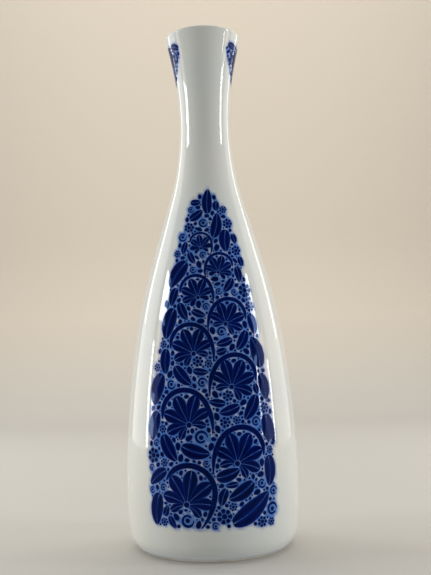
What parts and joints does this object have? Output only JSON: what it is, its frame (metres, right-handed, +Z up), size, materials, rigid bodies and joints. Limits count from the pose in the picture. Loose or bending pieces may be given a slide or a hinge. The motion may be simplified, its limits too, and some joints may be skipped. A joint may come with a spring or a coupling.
{
  "type": "sake bottle",
  "caption": "Tall round porcelain sake bottle with a tapering belly, a slim waisted neck, a flared open mouth and cobalt-blue scroll prints under a gloss white finish.",
  "frame": {"origin": "middle of the foot, in the plane that the standing ring rests on", "axes": "+Z up the bottle's axis, -Y towards the front print, +X to the right seen from the front"},
  "size_m": [0.079, 0.0794, 0.24],
  "materials": {
    "biscuit_porcelain": "matt, unglazed",
    "white_glaze": "high gloss",
    "cobalt_print": "high gloss"
  },
  "bodies": {
    "root": {"bottle_body": "biscuit_porcelain", "glaze_coat": "white_glaze", "foot_glaze": "white_glaze", "front_print": "cobalt_print", "back_print": "cobalt_print", "left_neck_print": "cobalt_print", "right_neck_print": "cobalt_print"}
  },
  "joints": []
}
